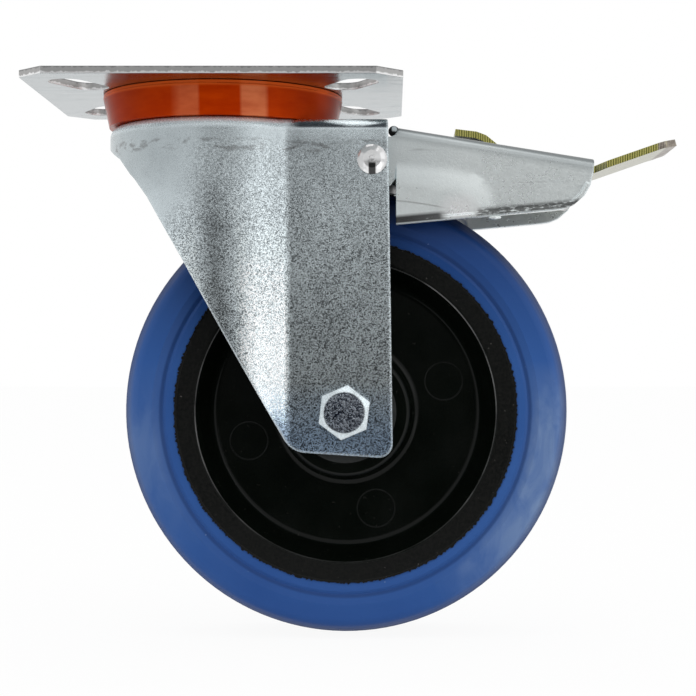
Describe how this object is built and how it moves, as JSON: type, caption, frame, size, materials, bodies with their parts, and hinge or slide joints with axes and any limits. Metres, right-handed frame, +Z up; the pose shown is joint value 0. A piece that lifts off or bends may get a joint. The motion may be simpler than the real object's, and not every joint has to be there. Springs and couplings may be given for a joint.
{
  "type": "swivel castor",
  "caption": "Swivel castor with a plate mount, pressed-steel fork, blue rubber tyre on a black nylon wheel, and a total-lock brake with a rear pedal.",
  "frame": {"origin": "centre of the mounting plate's top face, on the swivel axis", "axes": "+Z up out of the plate, +X to the rear towards the pedal, +Y away from the side seen in the picture"},
  "size_m": [0.1785, 0.085, 0.1535],
  "materials": {
    "plate_zinc": "zinc plated, glossy with rolling streaks",
    "fork_zinc": "zinc plated, fine sparkling grain",
    "housing_zinc": "zinc plated, satin",
    "rocker_zinc": "zinc plated",
    "race_zinc": "zinc plated, greased",
    "rivet_zinc": "zinc plated, bright",
    "bolt_zinc": "zinc plated, bright",
    "bare_steel": "turned steel",
    "ball_steel": "polished bearing steel",
    "yellow_chromate": "yellow chromate over zinc, iridescent olive",
    "orange_plastic": "glossy dark orange",
    "black_nylon": "moulded black nylon, satin",
    "blue_rubber": "smooth elastic rubber, satin",
    "grey_plastic": "moulded",
    "white_nylon": "moulded"
  },
  "bodies": {
    "plate": {"top_plate": "plate_zinc", "kingpin": "bare_steel", "lower_race": "race_zinc", "lock_ring": "race_zinc"},
    "upper_row": {"upper_balls": "ball_steel"},
    "lower_row": {"lower_balls": "ball_steel"},
    "fork": {"fork": "fork_zinc", "seal_ring": "orange_plastic", "axle_bolt": "bolt_zinc", "washer": "bolt_zinc", "axle_nut": "bolt_zinc", "nut_insert": "white_nylon", "axle_tube": "bare_steel", "cross_rivet": "rivet_zinc", "brake_housing": "housing_zinc", "lever_pin": "bare_steel"},
    "wheel": {"wheel_core": "black_nylon", "tyre": "blue_rubber", "hub_seals": "grey_plastic"},
    "roller_set": {"rollers": "ball_steel", "roller_cage": "grey_plastic"},
    "lever": {"brake_lever": "yellow_chromate"},
    "rocker": {"brake_rocker": "rocker_zinc", "brake_pad": "rocker_zinc"}
  },
  "joints": [
    {"name": "swivel", "type": "hinge", "parent": "plate", "child": "fork", "pos_m": [0, 0, 0], "axis": [0, 0, 1], "continuous": true},
    {"name": "upper_row_turn", "type": "hinge", "parent": "plate", "child": "upper_row", "pos_m": [0, 0, 0], "axis": [0, 0, 1], "continuous": true},
    {"name": "lower_row_turn", "type": "hinge", "parent": "plate", "child": "lower_row", "pos_m": [0, 0, 0], "axis": [0, 0, 1], "continuous": true},
    {"name": "wheel_spin", "type": "hinge", "parent": "fork", "child": "wheel", "pos_m": [0.0352, 0, -0.091], "axis": [0, 1, 0], "continuous": true},
    {"name": "roller_turn", "type": "hinge", "parent": "fork", "child": "roller_set", "pos_m": [0.0352, 0, -0.091], "axis": [0, 1, 0], "continuous": true},
    {"name": "brake_pedal", "type": "hinge", "parent": "fork", "child": "lever", "pos_m": [0.084, 0, -0.027], "axis": [0, 1, 0], "range_deg": [0, 20]},
    {"name": "brake_rock", "type": "hinge", "parent": "fork", "child": "rocker", "pos_m": [0.04265, 0, -0.0224], "axis": [0, 1, 0], "range_deg": [0, 4]}
  ],
  "couplings": [
    {"joint": "upper_row_turn", "follows": "swivel", "ratio": 0.5},
    {"joint": "lower_row_turn", "follows": "swivel", "ratio": 0.5},
    {"joint": "roller_turn", "follows": "wheel_spin", "ratio": 0.4},
    {"joint": "brake_rock", "follows": "brake_pedal", "ratio": 0.2}
  ]
}
